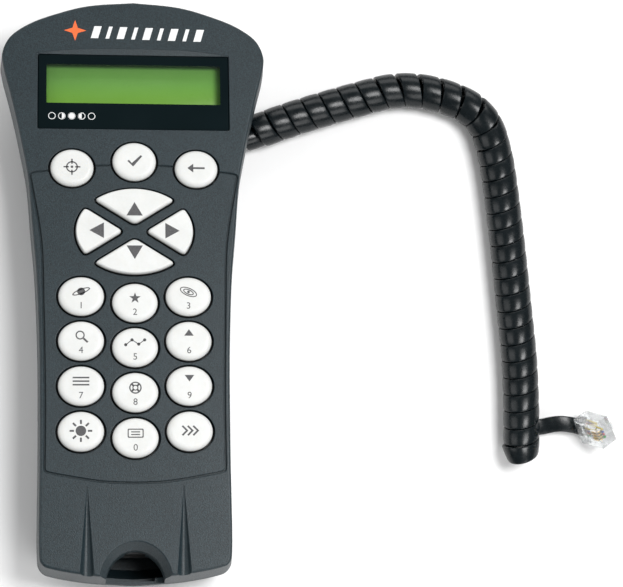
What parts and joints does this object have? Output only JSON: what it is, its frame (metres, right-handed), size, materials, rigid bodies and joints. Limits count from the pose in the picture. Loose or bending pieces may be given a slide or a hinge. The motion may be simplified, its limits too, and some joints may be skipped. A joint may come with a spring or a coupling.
{
  "type": "hand controller",
  "caption": "Hand controller for a computerised telescope mount: waisted plastic case with display, rubber keys, split direction pad and a curly cord with a modular plug.",
  "frame": {"origin": "under the middle of the case, on the surface it rests on", "axes": "+X across the case towards the side its cord leaves from, +Y along it towards the display, +Z out of its keys"},
  "size_m": [0.2023, 0.1913, 0.0294],
  "materials": {
    "case": "fine spark-eroded texture, satin",
    "key_rubber": "smooth white silicone, satin, translucent at its edges",
    "window": "polished black border on a clear panel",
    "lcd": "yellow-green liquid crystal, satin",
    "bezel": "black, satin",
    "backlight": "milky diffuser",
    "circuit_board": "green solder mask, satin",
    "black_part": "moulded epoxy, matt",
    "white_part": "natural nylon, satin",
    "jack": "black, satin",
    "screw": "zinc plated",
    "boot": "black, satin",
    "cord_jacket": "glossy black jacket",
    "plug": "clear moulded plastic, polished",
    "contact": "gold plated"
  },
  "bodies": {
    "housing": {"front_shell": "case", "rear_shell": "case", "display_window": "window", "display_bezel": "bezel", "display_glass": "lcd", "display_backlight": "backlight", "display_board": "circuit_board", "main_board": "circuit_board", "display_header": "black_part", "processor_chip": "black_part", "memory_chip": "black_part", "cord_header": "white_part", "inner_lead": "cord_jacket", "data_jack": "jack", "keypad_mat": "key_rubber", "cord_strain_relief": "boot", "cord_coil": "cord_jacket", "cord_tail": "cord_jacket", "plug_body": "plug", "case_screw_1": "screw", "case_screw_2": "screw", "case_screw_3": "screw", "case_screw_4": "screw", "case_screw_5": "screw", "case_screw_6": "screw", "board_screw_1": "screw", "board_screw_2": "screw", "board_screw_3": "screw", "board_screw_4": "screw", "display_screw_1": "screw", "display_screw_2": "screw", "display_screw_3": "screw", "display_screw_4": "screw", "plug_contact_1": "contact", "plug_contact_2": "contact", "plug_contact_3": "contact", "plug_contact_4": "contact"},
    "key_top_left": {"key_top_left": "key_rubber"},
    "key_top_centre": {"key_top_centre": "key_rubber"},
    "key_top_right": {"key_top_right": "key_rubber"},
    "key_1": {"key_1": "key_rubber"},
    "key_2": {"key_2": "key_rubber"},
    "key_3": {"key_3": "key_rubber"},
    "key_4": {"key_4": "key_rubber"},
    "key_5": {"key_5": "key_rubber"},
    "key_6": {"key_6": "key_rubber"},
    "key_7": {"key_7": "key_rubber"},
    "key_8": {"key_8": "key_rubber"},
    "key_9": {"key_9": "key_rubber"},
    "key_light": {"key_light": "key_rubber"},
    "key_0": {"key_0": "key_rubber"},
    "key_speed": {"key_speed": "key_rubber"},
    "key_right": {"key_right": "key_rubber"},
    "key_up": {"key_up": "key_rubber"},
    "key_left": {"key_left": "key_rubber"},
    "key_down": {"key_down": "key_rubber"},
    "plug_latch": {"plug_latch": "plug"}
  },
  "joints": [
    {"name": "key_top_left_press", "type": "slide", "parent": "housing", "child": "key_top_left", "axis": [0, 0, -1], "range_m": [0, 0.001], "stiffness_N_per_m": 600},
    {"name": "key_top_centre_press", "type": "slide", "parent": "housing", "child": "key_top_centre", "axis": [0, 0, -1], "range_m": [0, 0.001], "stiffness_N_per_m": 600},
    {"name": "key_top_right_press", "type": "slide", "parent": "housing", "child": "key_top_right", "axis": [0, 0, -1], "range_m": [0, 0.001], "stiffness_N_per_m": 600},
    {"name": "key_1_press", "type": "slide", "parent": "housing", "child": "key_1", "axis": [0, 0, -1], "range_m": [0, 0.001], "stiffness_N_per_m": 600},
    {"name": "key_2_press", "type": "slide", "parent": "housing", "child": "key_2", "axis": [0, 0, -1], "range_m": [0, 0.001], "stiffness_N_per_m": 600},
    {"name": "key_3_press", "type": "slide", "parent": "housing", "child": "key_3", "axis": [0, 0, -1], "range_m": [0, 0.001], "stiffness_N_per_m": 600},
    {"name": "key_4_press", "type": "slide", "parent": "housing", "child": "key_4", "axis": [0, 0, -1], "range_m": [0, 0.001], "stiffness_N_per_m": 600},
    {"name": "key_5_press", "type": "slide", "parent": "housing", "child": "key_5", "axis": [0, 0, -1], "range_m": [0, 0.001], "stiffness_N_per_m": 600},
    {"name": "key_6_press", "type": "slide", "parent": "housing", "child": "key_6", "axis": [0, 0, -1], "range_m": [0, 0.001], "stiffness_N_per_m": 600},
    {"name": "key_7_press", "type": "slide", "parent": "housing", "child": "key_7", "axis": [0, 0, -1], "range_m": [0, 0.001], "stiffness_N_per_m": 600},
    {"name": "key_8_press", "type": "slide", "parent": "housing", "child": "key_8", "axis": [0, 0, -1], "range_m": [0, 0.001], "stiffness_N_per_m": 600},
    {"name": "key_9_press", "type": "slide", "parent": "housing", "child": "key_9", "axis": [0, 0, -1], "range_m": [0, 0.001], "stiffness_N_per_m": 600},
    {"name": "key_light_press", "type": "slide", "parent": "housing", "child": "key_light", "axis": [0, 0, -1], "range_m": [0, 0.001], "stiffness_N_per_m": 600},
    {"name": "key_0_press", "type": "slide", "parent": "housing", "child": "key_0", "axis": [0, 0, -1], "range_m": [0, 0.001], "stiffness_N_per_m": 600},
    {"name": "key_speed_press", "type": "slide", "parent": "housing", "child": "key_speed", "axis": [0, 0, -1], "range_m": [0, 0.001], "stiffness_N_per_m": 600},
    {"name": "key_right_press", "type": "slide", "parent": "housing", "child": "key_right", "axis": [0, 0, -1], "range_m": [0, 0.001], "stiffness_N_per_m": 600},
    {"name": "key_up_press", "type": "slide", "parent": "housing", "child": "key_up", "axis": [0, 0, -1], "range_m": [0, 0.001], "stiffness_N_per_m": 600},
    {"name": "key_left_press", "type": "slide", "parent": "housing", "child": "key_left", "axis": [0, 0, -1], "range_m": [0, 0.001], "stiffness_N_per_m": 600},
    {"name": "key_down_press", "type": "slide", "parent": "housing", "child": "key_down", "axis": [0, 0, -1], "range_m": [0, 0.001], "stiffness_N_per_m": 600},
    {"name": "plug_latch_press", "type": "hinge", "parent": "housing", "child": "plug_latch", "pos_m": [0.15697, -0.04436, 0.01159], "axis": [-0.4265, 0.7395, 0.5208], "range_deg": [0, 9], "stiffness_Nm_per_rad": 0.05}
  ]
}
